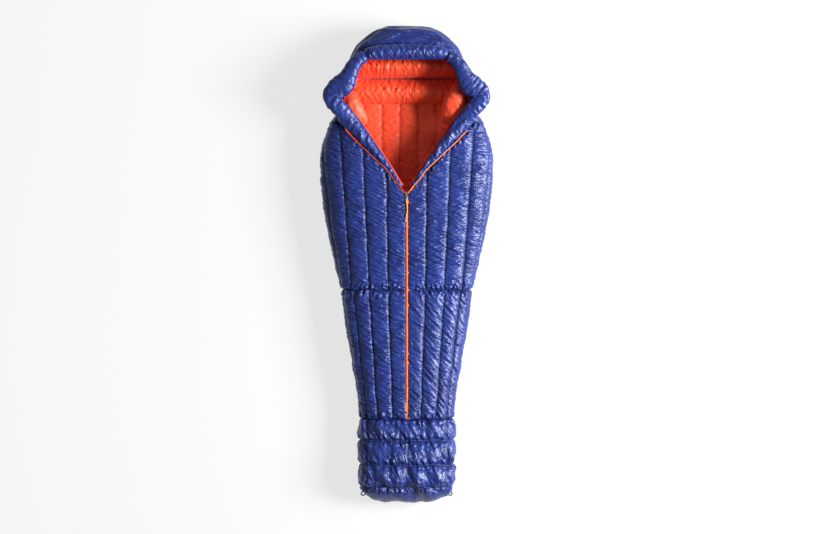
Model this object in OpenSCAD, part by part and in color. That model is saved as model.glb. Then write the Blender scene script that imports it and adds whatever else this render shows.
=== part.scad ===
// Mummy sleeping bag lying on its back, part unzipped, in millimetres.
// +Y runs to the head, +Z up, and the origin is on the ground under the middle of the bag.

/* [Lengths] */
// Foot box, from the foot end to the foot seam
foot_l = 364; // [300:2:440]
// Leg section, from the foot seam to the waist seam
leg_l = 554; // [460:2:670]
// Torso section, from the waist seam to the neck
torso_l = 748; // [660:2:900]
// Hood, from the neck to the end of the crown
hood_l = 396; // [350:2:480]

/* [Widths] */
// Foot box at its widest
foot_w = 418; // [350:2:500]
// Bag at the foot seam
ankle_w = 408; // [340:2:490]
// Bag at the waist seam
waist_w = 566; // [480:2:680]
// Bag at the shoulders
shoulder_w = 746; // [690:2:896]
// Bag at the neck, between the shoulders and the ears of the hood
neck_w = 630; // [600:2:720]
// Hood shell, without its rim
hood_w = 560; // [530:2:620]

/* [Heights] */
// Filled bag over the toes
toe_h = 172; // [150:1:210]
// Filled bag at the foot seam
ankle_h = 150; // [140:1:180]
// Filled bag at the neck
neck_h = 186; // [176:1:224]
// Top of the hood's brim
brim_h = 242; // [220:1:290]
// Loft of the chambers that lie on the ground
back_loft = 40; // [30:1:48]
// Loft of the front chambers
front_loft = 46; // [36:1:52]
// Thickness of the lining
lining_t = 3; // [2:0.5:4]
// Clearance between the lining and the chambers
lining_gap = 1.5; // [1:0.1:2]
// Clearance between the side chambers and the front and back ones
side_clear = 2; // [1.5:0.5:3]
// Sewn-through dip of a chamber at its seams
seam_dip = 9; // [4:1:12]
// Depth of the valley that the zip lies in
zip_valley = 6; // [5:0.5:7]

/* [Front opening] */
// Height of the joined zip's top end above the waist seam
apex_up = 417; // [340:1:500]
// Half width of the neck opening between the ends of the zip
neck_open = 258; // [240:1:270]
// Distance of the zip's top ends below the neck
zip_end_down = 66; // [50:1:90]
// Half width of the panel left between the fold lines at the foot seam
fold_gap = 14; // [12:0.5:20]
// Distance of the fold lines' lower ends above the foot seam
fold_up = 17; // [10:1:40]
// Width of a draft tube where it reaches the neck
draft_w = 72; // [50:1:90]
// Height of a draft tube
draft_h = 48; // [36:1:54]

/* [Hood] */
// Radius of the padded rim around the face
rim_r = 42; // [34:1:46]
// Width of the gathered brim, along the bag
brim_w = 64; // [50:1:76]
// Distance of the brim's back seam from the end of the crown
brim_back = 99; // [90:1:120]

/* [Zip] */
// Width of one zip tape
tape_w = 9; // [8:0.5:12]
// Thickness of the zip tape
tape_t = 0.8; // [0.6:0.1:1.2]
// Width of one coil
coil_w = 3; // [2.4:0.1:3.6]
// Height of one coil above its tape
coil_h = 2.4; // [2:0.1:3]
// Half width of the space between the joined coils' spines
coil_gap = 1.5; // [1.5:0.1:2]
// Width of the slider
slider_w = 14; // [12:0.5:16]
// Length of the slider
slider_l = 22; // [18:1:26]
// Thickness of the slider's plates
plate_t = 1.2; // [1:0.1:1.6]
// Radius of the slider's cross pin
pin_r = 0.9; // [0.8:0.05:1.2]
// Radial clearance of the pull's bore on the pin
pin_clear = 0.05; // [0.02:0.01:0.1]
// Length of the metal pull, from the pin
pull_l = 16; // [12:1:20]
// Diameter of the pull cord
cord_d = 4; // [3:0.5:5]
// Radius of the bead on the end of the pull cord
bead_r = 4.2; // [3.5:0.1:5]

/* [Hang loops] */
// Radius of a hang loop, to the middle of its cord
loop_r = 8; // [7:0.5:10]
// Radius of the hang loop's cord
loop_cord_r = 1.8; // [1.5:0.1:2.2]

/* [Hidden] */

shell_blue = [0.20, 0.25, 0.52];
lining_orange = [0.91, 0.33, 0.19];
coil_orange = [0.97, 0.52, 0.28];
cord_orange = [0.96, 0.55, 0.20];
metal_grey = [0.62, 0.63, 0.65];
loop_black = [0.06, 0.06, 0.07];

gap = 0.6;          // space between neighbouring chambers
side_share = 0.82;  // share of the half width where the side chambers begin
hood_share = 0.78;  // the same, in the hood
crown_power = 3;    // roundness of the top across the bag
rows = 8;           // sections along a chamber
across = 4;         // steps across a chamber

total_l = foot_l + leg_l + torso_l + hood_l;
y_end = -total_l / 2;
y_foot = y_end + foot_l;
y_waist = y_foot + leg_l;
y_neck = y_waist + torso_l;
y_crown = total_l / 2;
shoulder_share = 0.747;               // place of the widest line in the torso
y_hood_side = y_neck - 35;            // where the hood's sides take over from the body's
y_brim = y_crown - brim_back;         // seam behind the brim
y_hood_solid = y_crown - 56;          // where the hood's end begins
y_apex = y_waist + apex_up;
y_zip_end = y_neck - zip_end_down;
y_fold = y_foot + fold_up;
y_zip_low = y_fold + 50;              // lower end of the zip on the flaps

// The fold line of the right flap, in plan: its lower end, direction and inward normal.
fold_from = [fold_gap, y_fold];
fold_to = [neck_open, y_zip_end];
fold_len = norm(fold_to - fold_from);
fold_dir = (fold_to - fold_from) / fold_len;
fold_in = [-fold_dir[1], fold_dir[0]];

// The pull cord's middle line, from the pull to the bead.
CORD = [
  [0, 276.4, 177.5], [0, 268, 176.9], [1, 258, 176.3], [2, 248, 175.9], [3, 238, 175.5],
  [3, 228, 175.2], [2, 218, 174.9], [0, 208, 174.7], [-2, 198, 174.4], [-3, 188, 174.2]
];

function clamp(v, a, b) = max(a, min(b, v));
function mix(a, b, t) = a + (b - a) * t;
function smooth(t) = t * t * (3 - 2 * t);
function ramp(v, a, b) = clamp((v - a) / (b - a), 0, 1);
function spread(a, b, n) = [for (i = [0:n]) mix(a, b, i / n)];
function mirror_x(p, side) = [p[0] * side, p[1], p[2]];

// Half width of the bag's outline at a place along it.
function foot_half(y) = foot_w / 2 * mix(0.55, 1, 1 - pow(1 - ramp(y, y_end, y_end + 110), 3.2));
function leg_half(y) =
  let (t = ramp(y, y_foot, y_waist)) mix(ankle_w, waist_w, mix(t, smooth(t), 0.5)) / 2;
function chest_half(y) =
  let (t = ramp(y, y_waist, y_neck), s = clamp(t / shoulder_share, 0, 1),
       n = ramp(t, shoulder_share, 1))
    (waist_w + (shoulder_w - waist_w) * sin(90 * s) - (shoulder_w - neck_w) * n * n) / 2;
function half(y) =
  y < y_foot ? mix(foot_half(y), ankle_w / 2, smooth(ramp(y, y_foot - 90, y_foot)))
  : y < y_waist ? leg_half(y) : chest_half(y);
function hood_half(y) =
  let (t = ramp(y, y_neck + 55, y_crown), n = ramp(y, y_hood_side, y_neck + 55))
    mix(half(y_hood_side), hood_w / 2, smooth(n)) * pow(1 - pow(t, 2.4) * 0.992, 1 / 2.4);

// Height of the bag's top along its middle, and across it.
function ridge(y) = mix(ankle_h, neck_h, (y - y_foot) / (y_neck - y_foot));
function toe_ridge(y) =
  let (t = ramp(y, y_end, y_foot))
    mix(0.42 * toe_h, mix(toe_h, ankle_h, smooth(ramp(t, 0.35, 1))), pow(sin(90 * ramp(t, 0, 0.3)), 0.7));
function bag_ridge(y) = y < y_foot ? toe_ridge(y) : ridge(y);
function arch(u) = 0.5 + 0.5 * pow(max(0, 1 - pow(min(1, abs(u)), crown_power)), 1 / crown_power);
function top(x, y) = bag_ridge(y) * arch(x / half(y));
function zip_z(y) = ridge(y) - zip_valley;

// A closed solid through a list of sections, which all have the same number of points.
module loft(sections) {
  n = len(sections[0]);
  m = len(sections);
  faces = concat(
    [for (j = [0:m - 2], i = [0:n - 1], h = [0, 1])
      let (a = j * n + i, b = j * n + (i + 1) % n)
        h == 0 ? [a, b, b + n] : [a, b + n, a + n]],
    [for (i = [1:n - 2]) [0, i + 1, i]],
    [for (i = [1:n - 2]) [(m - 1) * n, (m - 1) * n + i, (m - 1) * n + i + 1]]);
  polyhedron(points = [for (s = sections, p = s) p], faces = faces);
}

// A loft of a right-hand piece, or of its mirror image on the left.
module sided_loft(sections, side) {
  loft(side > 0 ? sections : [for (s = sections) [for (i = [len(s) - 1:-1:0]) mirror_x(s[i], -1)]]);
}

// One section of a quilted chamber: a puffed top between two sides, and a flat or arched underside.
function chamber_section(upper, under) = concat(upper, [for (i = [len(under) - 1:-1:0]) under[i]]);
function puff(t) = -seam_dip * pow(abs(2 * t - 1), 3);

// A front chamber of the body, from share a to share b of the way between its two edges.
function front_section(y, xa, xb) =
  let (xs = spread(xb - gap / 2, xa + gap / 2, across))
    chamber_section(
      [for (i = [0:across]) [xs[i], y, top(xs[i], y) + puff(i / across)]],
      [for (x = xs) [x, y, top(x, y) - front_loft]]);

// A back chamber: flat on the ground, flat on top.
function back_section(y, xa, xb, z) =
  chamber_section([[xb - gap / 2, y, z], [xa + gap / 2, y, z]], [[xb - gap / 2, y, 0], [xa + gap / 2, y, 0]]);

// A side chamber, from where the front ends round to the ground.
function side_section(y) =
  let (w = half(y), x0 = side_share * w + side_clear, h = bag_ridge(y))
    [[x0, y, 0], [x0, y, top(x0, y) - seam_dip], [0.93 * w, y, h * arch(0.93)], [w, y, 0.5 * h],
     [w, y, 0.32 * h], [0.95 * w, y, 0.1 * h], [0.9 * w, y, 0]];

module back_rows(y0, y1, count, z) {
  for (k = [0:count - 1])
    loft([for (y = spread(y0 + gap / 2, y1 - gap / 2, rows + 4))
      let (w = side_share * half(y))
        back_section(y, mix(-w, w, k / count), mix(-w, w, (k + 1) / count), z)]);
}

module side_rows(side) {
  ends = [[y_end + 72, y_foot], [y_foot, y_waist], [y_waist, y_hood_side]];
  for (e = ends)
    sided_loft([for (y = spread(e[0] + gap / 2, e[1] - gap / 2, rows + 4)) side_section(y)], side);
}

// The part of the front that stays with the bag, between a fold line and the side.
function fold_x(y) =
  fold_gap + (neck_open - fold_gap) * (max(y, y_fold) - y_fold) / (y_zip_end - y_fold);
module front_rows(side, y0, y1, count) {
  for (k = [0:count - 1])
    sided_loft([for (y = spread(y0 + gap / 2, y1 - gap / 2, rows + 4))
      let (a = fold_x(y) + gap, b = side_share * half(y) - 1)
        front_section(y, mix(a, b, k / count), mix(a, b, (k + 1) / count))], side);
}

// Places on the right flap: s runs along its fold line and u in towards the middle of the bag.
function flap_xy(s, u) = fold_from + s * fold_dir + u * fold_in;
function flap_s(p) = (p - fold_from) * fold_dir;
function flap_u(p) = (p - fold_from) * fold_in;
s_low = flap_s([0, y_zip_low]);
s_apex = flap_s([0, y_apex]);
u_apex = flap_u([0, y_apex]);
function edge_u(s) =
  s < s_apex ? mix(flap_u([0, y_fold]), u_apex, (s - flap_s([0, y_fold])) / (s_apex - flap_s([0, y_fold])))
  : u_apex * (fold_len - s) / (fold_len - s_apex);
// Distance of the zip's line from the fold line, less the zip's tape, which the chambers stop at.
edge_cos = cos(atan(u_apex / (fold_len - s_apex)));
function chamber_edge(s) = edge_u(s) - (tape_w + 2) / (s > s_apex ? edge_cos : 1);
// Depth that a flap may have below its fold line without meeting the other flap as both turn.
function centre_u(s) = (fold_gap + s * fold_dir[0]) / fold_dir[1] - gap;
function turn_depth(s, u) = sqrt(max(0, pow(centre_u(s), 2) - u * u));
function flap_point(s, u, drop) = let (p = flap_xy(s, u)) [p[0], p[1], top(p[0], p[1]) - drop];

// One section across a flap's chamber, square to the fold line.
function flap_section(s, ua, ub) =
  let (us = spread(ua + gap / 2, ub - gap / 2, across))
    chamber_section(
      [for (i = [0:across]) flap_point(s, us[i], -puff(i / across))],
      [for (u = us) flap_point(s, u, min(front_loft, turn_depth(s, u)))]);

module flap_rows(side, s0, s1, count) {
  for (k = [0:count - 1])
    sided_loft([for (s = spread(s0, s1, rows))
      let (a = 0.4, b = chamber_edge(s))
        flap_section(s, mix(a, b, k / count), mix(a, b, (k + 1) / count))], side);
}

s_waist = flap_s([fold_x(y_waist), y_waist]);
module flap_chambers(side) {
  color(shell_blue) {
    flap_rows(side, s_low, s_waist - gap / 2, 2);
    flap_rows(side, s_waist + gap / 2, s_apex, 3);
    flap_rows(side, s_apex + gap, mix(s_apex, fold_len, 0.8), 2);
  }
}

module flap_lining(side) {
  deep = front_loft + lining_gap + lining_t;
  s_from = (deep * 1.3 - centre_u(0)) / (centre_u(1) - centre_u(0));
  color(lining_orange)
    sided_loft([for (s = spread(s_from, mix(s_apex, fold_len, 0.78), 2 * rows))
      let (reach = sqrt(pow(centre_u(s), 2) - deep * deep) - 1,
           us = spread(1, min(reach, chamber_edge(s)), across))
        chamber_section([for (u = us) flap_point(s, u, front_loft + lining_gap)],
                        [for (u = us) flap_point(s, u, deep)])], side);
}

// The draft tube behind the zip, which widens from the joined zip up to the neck.
module draft_tube(side) {
  s_top = fold_len - 18;
  color(shell_blue)
    sided_loft([for (s = spread(s_apex + 30, s_top, rows))
      let (w = draft_w * ramp(s, s_apex, fold_len), u0 = edge_u(s) + 1, u1 = u0 + w)
        [for (i = [0:9])
          let (a = 36 * i, u = mix(u0, u1, 0.5 + 0.5 * cos(a)), p = flap_xy(s, u),
               h = draft_h * min(1, w / 40))
            [p[0], p[1], zip_z(p[1]) - draft_h / 2 - h / 2 * sin(a)]]], side);
}

// The zip's edge line on the right flap, and strips laid beside it.
zip_line = [
  [0, y_zip_low], [0, y_waist], [0, y_apex], mix([0, y_apex], fold_to, 0.34), mix([0, y_apex], fold_to, 0.67),
  mix([0, y_apex], fold_to, 0.93)
];
function out_normal(path, i) =
  let (a = path[max(0, i - 1)], b = path[i], c = path[min(len(path) - 1, i + 1)],
       d0 = i > 0 ? (b - a) / norm(b - a) : (c - b) / norm(c - b),
       d1 = i < len(path) - 1 ? (c - b) / norm(c - b) : d0,
       m = (d0 + d1) / norm(d0 + d1))
    [m[1], -m[0]] / (m * d0);
module zip_strip(side, near, far, low, high) {
  sided_loft([for (i = [0:len(zip_line) - 1])
    let (n = out_normal(zip_line, i), p = zip_line[i] + near * n, q = zip_line[i] + far * n,
         z = zip_z(zip_line[i][1]))
      [[q[0], q[1], z + high], [p[0], p[1], z + high], [p[0], p[1], z + low], [q[0], q[1], z + low]]], side);
}

// Padded tube along a path of [x, y, z, radius], with sections square to it.
function tube_ring(path, i, n, flat) =
  let (a = path[max(0, i - 1)], b = path[min(len(path) - 1, i + 1)],
       d = [b[0] - a[0], b[1] - a[1], b[2] - a[2]], t = d / norm(d),
       e = cross([0, 0, 1], t), side = e / norm(e), up = cross(t, side), c = path[i])
    [for (k = [0:n - 1])
      [c[0], c[1], c[2]] + c[3] * (cos(360 * k / n) * side + flat * sin(360 * k / n) * up)];
module tube(path, n, flat, side = 1) {
  rings = [for (i = [0:len(path) - 1]) tube_ring(path, i, n, flat)];
  loft(side > 0 ? rings : [for (r = rings) [for (k = [n - 1:-1:0]) mirror_x(r[k], -1)]]);
}

module back_torso_chambers() { color(shell_blue) back_rows(y_waist, y_hood_side, 6, back_loft); }
module back_leg_chambers() { color(shell_blue) back_rows(y_foot, y_waist, 6, back_loft); }
module left_side_chambers() { color(shell_blue) side_rows(-1); }
module right_side_chambers() { color(shell_blue) side_rows(1); }
module left_chest_panel() { color(shell_blue) front_rows(-1, y_waist, y_zip_end, 2); }
module right_chest_panel() { color(shell_blue) front_rows(1, y_waist, y_zip_end, 2); }
module left_leg_panel() { color(shell_blue) front_rows(-1, y_foot, y_waist, 3); }
module right_leg_panel() { color(shell_blue) front_rows(1, y_foot, y_waist, 3); }

// Three tubes sewn across the top of the foot box.
module foot_top_chambers() {
  seams = [y_foot, y_foot - 91, y_foot - 196, y_end + 72];
  color(shell_blue)
    for (k = [0:2])
      loft([for (t = spread(0, 1, across))
        let (y = mix(seams[k + 1] + gap / 2, seams[k] - gap / 2, t), w = side_share * half(y),
             xs = spread(w - side_clear, side_clear - w, 2 * across))
          chamber_section([for (x = xs) [x, y, top(x, y) + puff(t)]],
                          [for (x = xs) [x, y, top(x, y) - front_loft]])]);
}

module foot_toe_chamber() {
  color(shell_blue)
    loft([for (t = spread(0, 1, rows))
      let (y = mix(y_end, y_end + 72 - gap / 2, t), w = half(y), h = bag_ridge(y), c = puff(t) + seam_dip)
        [[-0.94 * w, y, 0], [-w, y, 0.3 * h], [-w, y, 0.5 * h], [-0.9 * w, y, 0.8 * h],
         [-0.6 * w, y, 0.92 * h + c * 0.6], [0, y, 0.95 * h + c], [0.6 * w, y, 0.92 * h + c * 0.6],
         [0.9 * w, y, 0.8 * h], [w, y, 0.5 * h], [w, y, 0.3 * h], [0.94 * w, y, 0]]]);
}

module foot_back_chambers() { color(shell_blue) back_rows(y_end + 72, y_foot, 3, back_loft); }

module hood_back_chambers() {
  color(shell_blue)
    for (k = [0:4])
      loft([for (y = spread(y_hood_side + gap / 2, y_hood_solid - gap / 2, rows))
        let (w = hood_share * hood_half(y))
          back_section(y, mix(-w, w, k / 5), mix(-w, w, (k + 1) / 5), back_loft)]);
}

function crown_z(y) = mix(0.25, 0.85, pow(cos(90 * ramp(y, y_brim, y_crown)), 0.6)) * brim_h;
module hood_crown() {
  color(shell_blue)
    loft([for (y = spread(y_brim + gap, y_hood_solid - gap / 2, across))
      let (w = hood_share * hood_half(y) - 4, xs = spread(w, -w, 2 * across))
        chamber_section([for (x = xs) [x, y, crown_z(y) * arch(0.75 * x / w)]],
                        [for (x = xs) [x, y, crown_z(y) * arch(0.75 * x / w) - front_loft]])]);
}

module hood_end() {
  color(shell_blue)
    loft([for (y = spread(y_hood_solid + gap / 2, y_crown, rows))
      let (w = hood_half(y), h = crown_z(y))
        [[-0.92 * w, y, 0], [-w, y, 0.28 * h], [-w, y, 0.5 * h], [-0.78 * w, y, 0.86 * h],
         [-0.4 * w, y, 0.98 * h], [0, y, h], [0.4 * w, y, 0.98 * h],
         [0.78 * w, y, 0.86 * h], [w, y, 0.5 * h], [w, y, 0.28 * h], [0.92 * w, y, 0]]]);
}

// The gathered tube that frames the top of the face opening.
brim_end = 150;  // half length of the brim
module hood_brim() {
  y = y_brim - brim_w / 2 - 1;
  color(shell_blue)
    tube([for (t = spread(-1, 1, rows))
      [brim_end * t, y - 10 * t * t, brim_h - brim_w / 2 - 22 * t * t, brim_w / 2]], 12, 1);
}

// The padded rim, from the top of a draft tube out round the ear and in to the brim.
RIM = [[neck_open - 29, -37, -84], [neck_open + 8, 9, -72], [hood_w / 2 + 26, 51, -56],
       [hood_w / 2 + 31, 91, -50], [hood_w / 2 + 4, 137, -46], [hood_w / 2 - 36, 181, -42],
       [hood_w / 2 - 68, 215, -40], [hood_w / 2 - 94, 236, -38]];
module face_rim(side) {
  taper = [0.75, 0.92, 0.98, 1, 1, 0.95, 0.88, 0.8];
  color(shell_blue)
    tube([for (i = [0:len(RIM) - 1])
      [RIM[i][0], y_neck + RIM[i][1], brim_h + RIM[i][2], rim_r * taper[i]]], 12, 1, side);
}

module hood_side(side) {
  color(shell_blue)
    sided_loft([for (y = spread(y_hood_side + gap / 2, y_hood_solid - gap / 2, rows))
      let (w = hood_half(y), a = hood_share * w + gap / 2,
           h = brim_h * mix(0.44, 0.72, ramp(y, y_hood_side, y_brim)))
        [[a, y, 0], [a, y, h], [0.9 * w, y, 0.92 * h], [w, y, 0.55 * h], [w, y, 0.3 * h], [0.93 * w, y, 0]]],
      side);
}

// Down tubes across the back of the head, inside the hood.
module head_tube(y, ry, rz) {
  w = hood_share * hood_half(y + ry) - 3;
  color(lining_orange)
    loft([for (x = spread(-w, w, 6))
      [for (k = [0:11]) [x, y - ry * cos(30 * k), back_loft + lining_t + 1 + rz + rz * sin(30 * k)]]]);
}

// Padded collar pieces at the sides of the neck.
module collar(side) {
  color(lining_orange)
    tube([for (t = spread(0, 1, 4))
      [mix(168, 198, sin(90 * t)), y_neck + mix(-72, 28, t), back_loft + lining_t + 32,
       22 * mix(0.6, 1, sin(180 * t))]], 10, 1, side);
}

module back_lining() {
  color(lining_orange)
    loft([for (y = concat(spread(y_end + 76, y_foot, 3), spread(y_foot + 60, y_hood_side + 70, rows)))
      let (w = y < y_hood_side ? side_share * half(y) - 3 : hood_share * hood_half(y) - 3,
           z = back_loft + 0.5)
        back_section(y, -w, w, z + lining_t) + [for (i = [0:3]) [0, 0, i < 2 ? 0 : z]]]);
}

module side_lining(side) {
  color(lining_orange)
    sided_loft([for (y = concat(spread(y_end + 76, y_foot, rows), spread(y_foot + 30, y_hood_side - 2, 2 * rows)))
      let (x = side_share * half(y) - 4, z0 = back_loft + lining_t + 1,
           z1 = top(x, y) - front_loft - lining_gap - lining_t - 1.5)
        [[x, y, max(z0 + 1, z1)], [x - lining_t, y, max(z0 + 1, z1)], [x - lining_t, y, z0], [x, y, z0]]],
      side);
}

module front_lining() {
  color(lining_orange)
    for (side = [-1, 1])
      sided_loft([for (y = spread(y_foot + 10, y_zip_end - 12, 2 * rows))
        let (xs = spread(side_share * half(y) - 5, fold_x(y) + 2, across))
          chamber_section([for (x = xs) [x, y, top(x, y) - front_loft - lining_gap]],
                          [for (x = xs) [x, y, top(x, y) - front_loft - lining_gap - lining_t]])], side);
}

// The sewn lower end of the zip, below the flaps, and its stop.
module zip_foot_end() {
  color(lining_orange)
    loft([for (y = [y_fold - 12, y_zip_low - 2])
      let (z = zip_z(y), w = tape_w)
        [[w, y, z + tape_t], [-w, y, z + tape_t], [-w, y, z], [w, y, z]]]);
}
module zip_bottom_stop() {
  color(metal_grey)
    translate([-3.5, y_fold + 8, zip_z(y_fold + 14) + tape_t + 0.2]) cube([7, 9, 3]);
}

module hang_loop(side) {
  y = y_end + 33;
  x = half(y) + loop_r + loop_cord_r;
  color(loop_black)
    translate([side * x, y, 22])
      rotate_extrude($fn = 48) translate([loop_r, 0]) circle(r = loop_cord_r, $fn = 24);
}

module zip_tape(side) {
  color(lining_orange) zip_strip(side, coil_gap, tape_w, 0, tape_t);
}
coil_low = tape_t + 0.3;  // underside of a coil above its tape's underside
module zip_coil(side) {
  color(coil_orange) zip_strip(side, coil_gap, coil_gap + coil_w, coil_low, coil_low + coil_h);
}
module zip_stop(side) {
  p = mix([0, y_apex], fold_to, 0.95);
  color(metal_grey)
    translate([side * (p[0] + 4), p[1] - 2, zip_z(p[1]) - 1]) cube([5, 5, 4.6], center = true);
}

// The slider: two plates round the coils, the post that parts them, and lugs with a cross pin.
slope = (neck_h - ankle_h) / (y_neck - y_foot);
y_slider = y_apex + 3 - slider_l;      // lower end of the slider
plate_gap = 0.6;                       // clearance of the plates above and below the coils
z_upper = coil_low + coil_h + plate_gap; // underside of the upper plate
pin_up = z_upper + plate_t + 2.2;      // height of the cross pin
lug_t = 1.4;
pull_w = 5;
// Puts a piece on the zip at the slider, level with the zip's slope.
module at_slider() {
  translate([0, y_slider, zip_z(y_slider)]) rotate([atan(slope), 0, 0]) children();
}
module zip_slider() {
  color(metal_grey)
    at_slider() {
      translate([-slider_w / 2, 0, z_upper]) cube([slider_w, slider_l, plate_t]);
      translate([-slider_w / 2, 0, -plate_gap - plate_t]) cube([slider_w, slider_l, plate_t]);
      translate([0, slider_l - 4, -plate_gap - 0.2])
        cylinder(r = coil_gap - 0.4, h = z_upper + plate_gap + 0.4, $fn = 32);
      for (x = [-1, 1])
        translate([x * (pull_w / 2 + 0.4 + lug_t / 2) - lug_t / 2, 5, z_upper + plate_t - 0.2])
          cube([lug_t, 6, 4.2]);
      translate([-(pull_w / 2 + 0.4 + lug_t / 2), 8, pin_up])
        rotate([0, 90, 0]) cylinder(r = pin_r, h = pull_w + 0.8 + lug_t, $fn = 32);
    }
}
module zip_pull() {
  color(metal_grey)
    at_slider()
      translate([0, 8, pin_up])
        difference() {
          union() {
            rotate([0, 90, 0]) cylinder(r = pin_r + 1, h = pull_w, center = true, $fn = 32);
            translate([-pull_w / 2, -pull_l, -0.8]) cube([pull_w, pull_l - 1, 1.6]);
          }
          rotate([0, 90, 0]) cylinder(r = pin_r + pin_clear, h = pull_w + 2, center = true, $fn = 32);
        }
}

module pull_cord() {
  color(cord_orange) tube([for (p = CORD) [p[0], p[1], p[2], cord_d / 2]], 8, 1);
}
module cord_end() {
  last = CORD[len(CORD) - 1];
  color(cord_orange)
    translate([last[0] - 0.5, last[1] - bead_r - 0.7, last[2] + bead_r - cord_d / 2 - 0.6])
      sphere(r = bead_r, $fn = 32);
}

back_torso_chambers();
back_leg_chambers();
left_side_chambers();
right_side_chambers();
left_chest_panel();
right_chest_panel();
left_leg_panel();
right_leg_panel();
foot_top_chambers();
foot_toe_chamber();
foot_back_chambers();
hood_back_chambers();
hood_crown();
hood_end();
hood_brim();
face_rim(-1);  // left_face_rim
face_rim(1);  // right_face_rim
hood_side(-1);  // left_hood_side
hood_side(1);  // right_hood_side
head_tube(y_brim - 97, 31, 46);  // head_tube_upper
head_tube(y_brim - 186, 56, 27);  // head_tube_lower
collar(-1);  // left_collar
collar(1);  // right_collar
back_lining();
side_lining(-1);  // left_side_lining
side_lining(1);  // right_side_lining
front_lining();
zip_foot_end();
zip_bottom_stop();
hang_loop(-1);  // left_hang_loop
hang_loop(1);  // right_hang_loop
flap_chambers(-1);  // left_flap_chambers
draft_tube(-1);  // left_draft_tube
flap_lining(-1);  // left_flap_lining
zip_tape(-1);  // left_zip_tape
zip_coil(-1);  // left_zip_coil
zip_stop(-1);  // left_zip_stop
flap_chambers(1);  // right_flap_chambers
draft_tube(1);  // right_draft_tube
flap_lining(1);  // right_flap_lining
zip_tape(1);  // right_zip_tape
zip_coil(1);  // right_zip_coil
zip_stop(1);  // right_zip_stop
zip_slider();
zip_pull();
pull_cord();
cord_end();
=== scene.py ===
import math
import bpy
import numpy as np
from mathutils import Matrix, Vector


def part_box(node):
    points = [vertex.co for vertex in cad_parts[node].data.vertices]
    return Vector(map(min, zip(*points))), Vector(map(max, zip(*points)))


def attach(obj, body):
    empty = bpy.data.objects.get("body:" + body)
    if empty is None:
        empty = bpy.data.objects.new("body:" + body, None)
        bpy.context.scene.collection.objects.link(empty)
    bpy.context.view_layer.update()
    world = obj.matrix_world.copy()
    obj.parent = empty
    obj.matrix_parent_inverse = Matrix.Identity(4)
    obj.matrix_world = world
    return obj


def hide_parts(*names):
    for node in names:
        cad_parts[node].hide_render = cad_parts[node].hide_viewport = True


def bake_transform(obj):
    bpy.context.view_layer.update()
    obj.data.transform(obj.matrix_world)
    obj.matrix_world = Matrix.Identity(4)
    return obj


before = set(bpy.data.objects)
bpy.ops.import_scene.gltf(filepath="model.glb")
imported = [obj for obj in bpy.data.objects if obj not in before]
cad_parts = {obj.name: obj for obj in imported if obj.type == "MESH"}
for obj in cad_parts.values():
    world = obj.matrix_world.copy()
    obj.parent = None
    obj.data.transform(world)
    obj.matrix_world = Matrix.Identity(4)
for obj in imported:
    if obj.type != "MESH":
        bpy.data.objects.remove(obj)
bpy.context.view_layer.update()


# ---- Floor, light and camera -------------------------------------------------------------
# The bag lies on its back on a pale backlit table and is seen from straight above with a long lens.
# A large soft light stands low on the right, with two weak ones past the hood and on the left.
class Wire:
    """A shader socket, so that the maths of a finish reads as plain expressions."""

    def __init__(self, tree, socket=None):
        self.tree, self.socket = tree, socket

    def node(self, kind, settings=(), values=(), out=0):
        made = self.tree.nodes.new("ShaderNode" + kind)
        for name, value in dict(settings).items():
            if name == "stops":
                for i, (at, colour) in enumerate(value):
                    stops = made.color_ramp.elements
                    stop = stops[i] if i < 2 else stops.new(at)
                    stop.position, stop.color = at, colour
            else:
                setattr(made, name, value)
        for name, value in dict(values).items():
            if isinstance(value, Wire):
                self.tree.links.new(value.socket, made.inputs[name])
            else:
                made.inputs[name].default_value = value
        return Wire(self.tree, made.outputs[out])

    def math(self, operation, *others):
        return self.node("Math", {"operation": operation}, enumerate((self, *others)))

    def __add__(self, other):
        return self.math("ADD", other)

    def __sub__(self, other):
        return self.math("SUBTRACT", other)

    def __rsub__(self, other):
        return self.node("Math", {"operation": "SUBTRACT"}, {0: other, 1: self})

    def __mul__(self, other):
        return self.math("MULTIPLY", other)

    __radd__, __rmul__ = __add__, __mul__

    def between(self, low, high):
        """0 up to low, 1 from high, and a smooth ramp between."""
        return self.node("MapRange", {"interpolation_type": "SMOOTHSTEP"},
                         {"Value": self, "From Min": low, "From Max": high})

    def mix(self, a, b):
        """Colour a where this is 0 and b where it is 1."""
        return self.node("Mix", {"data_type": "RGBA"}, {0: self, 6: a, 7: b}, out=2)


def finish(name, **constants):
    """A material with these constants on its shader, and its wires to build on."""
    material = bpy.data.materials.new(name)
    material.use_nodes = True
    shader = material.node_tree.nodes["Principled BSDF"]
    for socket, value in constants.items():
        shader.inputs[socket.replace("_", " ")].default_value = value
    return material, shader, Wire(material.node_tree)


def join(wire, shader, socket):
    wire.tree.links.new(wire.socket, shader.inputs[socket])


def show(name, mesh, material):
    piece = bpy.data.objects.new(name, mesh)
    bpy.context.scene.collection.objects.link(piece)
    mesh.materials.append(material)
    return piece


paper, shader, wire = finish("floor_paper", Roughness=0.9, Specular_IOR_Level=0.1, Emission_Strength=0.74)
grain = wire.node("TexNoise", (), {"Scale": 6.0, "Detail": 3.0})
join(grain.mix((0.18, 0.18, 0.18, 1), (0.20, 0.20, 0.20, 1)), shader, "Base Color")
join(grain.mix((0.99, 0.99, 0.99, 1), (1.0, 1.0, 1.0, 1)), shader, "Emission Color")
floor_mesh = bpy.data.meshes.new("floor")
floor_mesh.from_pydata([(-9, -9, 0), (9, -9, 0), (9, 9, 0), (-9, 9, 0)], [], [(0, 1, 2, 3)])
floor = show("floor", floor_mesh, paper)
floor.location.z = -0.0015

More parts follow.
